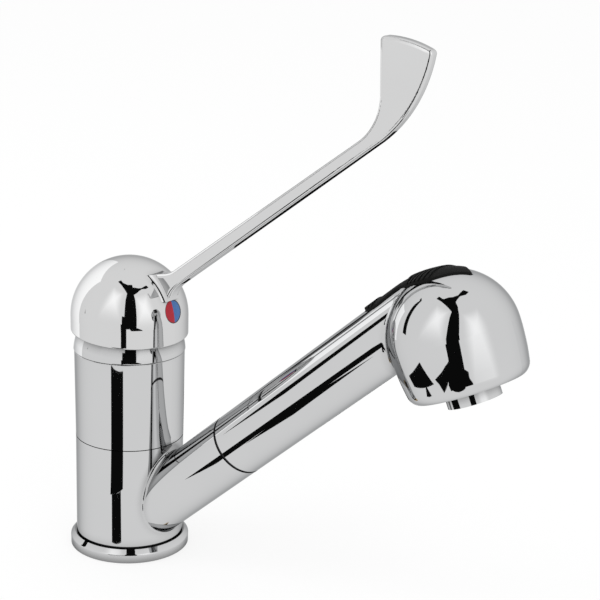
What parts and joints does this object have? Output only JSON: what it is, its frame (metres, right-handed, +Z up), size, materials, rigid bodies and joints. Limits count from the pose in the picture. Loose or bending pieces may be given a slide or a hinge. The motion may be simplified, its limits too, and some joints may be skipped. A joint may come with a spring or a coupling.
{
  "type": "pull-out mixer tap",
  "caption": "Single-lever kitchen mixer tap with a long upright-ended lever, a sloping swivel spout and a pull-out handset with a ribbed button for the spray.",
  "frame": {"origin": "centre of the base's underside, where the body's axis meets the worktop", "axes": "+Z up along the body, +X towards the spout and the lever, +Y to the cold side"},
  "size_m": [0.2293, 0.0556, 0.3082],
  "materials": {
    "chrome": "polished chrome plate",
    "lever_chrome": "polished chrome plate on a zinc casting",
    "brass": "raw machined brass",
    "cast_brass": "raw cast brass",
    "black_rubber": "matt black rubber",
    "steel": "stainless steel",
    "black_plastic": "satin black acetal",
    "white_plastic": "satin white acetal",
    "grey_plastic": "satin grey plastic",
    "ceramic": "lapped white ceramic",
    "red_enamel": "glossy red plastic",
    "blue_enamel": "glossy blue plastic"
  },
  "bodies": {
    "base": {"threaded_shank": "brass", "gasket": "black_rubber", "base_ring": "chrome", "core": "cast_brass", "lower_slip_ring": "black_plastic", "upper_slip_ring": "black_plastic", "upper_body": "chrome", "cartridge_seals": "black_rubber", "cartridge_base": "white_plastic", "fixed_disc": "ceramic", "cartridge_housing": "white_plastic", "clamp_nut": "brass", "collar": "chrome"},
    "fixing": {"rubber_washer": "black_rubber", "steel_washer": "steel", "backnut": "brass"},
    "spout": {"spout_body": "chrome", "socket_liner": "black_plastic"},
    "turning_core": {"rotor": "white_plastic", "pivot_pin": "steel"},
    "lever_set": {"lever": "lever_chrome", "stem": "steel", "grub_screw": "steel", "mark_plug": "black_plastic", "mark_red": "red_enamel", "mark_blue": "blue_enamel"},
    "disc_set": {"moving_disc": "ceramic", "disc_carrier": "white_plastic"},
    "hose_end": {"hose_nipple": "brass", "swivel_clip": "steel", "swivel_seal": "black_rubber", "check_valve": "white_plastic", "filter_washer": "black_rubber", "filter_mesh": "steel"},
    "handset": {"handset_shell": "chrome", "water_pipe": "grey_plastic", "diverter_body": "grey_plastic", "piston_spring": "steel", "inner_plate": "grey_plastic", "spray_face": "black_plastic", "nozzle_ring": "chrome", "aerator_insert": "grey_plastic", "aerator_washer": "black_rubber"},
    "pad_set": {"diverter_piston": "white_plastic", "piston_seal": "black_rubber", "pad_rocker": "black_plastic", "rubber_pad": "black_rubber"}
  },
  "joints": [
    {"name": "nut_travel", "type": "slide", "parent": "base", "child": "fixing", "axis": [0, 0, -1], "range_m": [0, 0.021]},
    {"name": "spout_swivel", "type": "hinge", "parent": "base", "child": "spout", "pos_m": [0, 0, 0], "axis": [0, 0, 1], "range_deg": [-60, 60]},
    {"name": "lever_turn", "type": "hinge", "parent": "base", "child": "turning_core", "pos_m": [0, 0, 0.095], "axis": [0, 0, 1], "range_deg": [-50, 50]},
    {"name": "lever_lift", "type": "hinge", "parent": "turning_core", "child": "lever_set", "pos_m": [0, 0, 0.095], "axis": [0, -1, 0], "range_deg": [0, 25]},
    {"name": "disc_slide", "type": "slide", "parent": "turning_core", "child": "disc_set", "axis": [1, 0, 0], "range_m": [0, 0.004]},
    {"name": "handset_pull", "type": "slide", "parent": "spout", "child": "hose_end", "axis": [0.7543, 0, 0.6566], "range_m": [0, 0.15]},
    {"name": "handset_turn", "type": "hinge", "parent": "hose_end", "child": "handset", "pos_m": [0, 0, 0.0088], "axis": [0.7543, 0, 0.6566], "continuous": true},
    {"name": "button_press", "type": "slide", "parent": "handset", "child": "pad_set", "axis": [0.4067, 0, -0.9135], "range_m": [0, 0.0012], "stiffness_N_per_m": 1500, "springref_m": -0.002, "deforming": ["piston_spring"]}
  ],
  "couplings": [
    {"joint": "disc_slide", "follows": "lever_lift", "m_per_rad": 0.009}
  ]
}
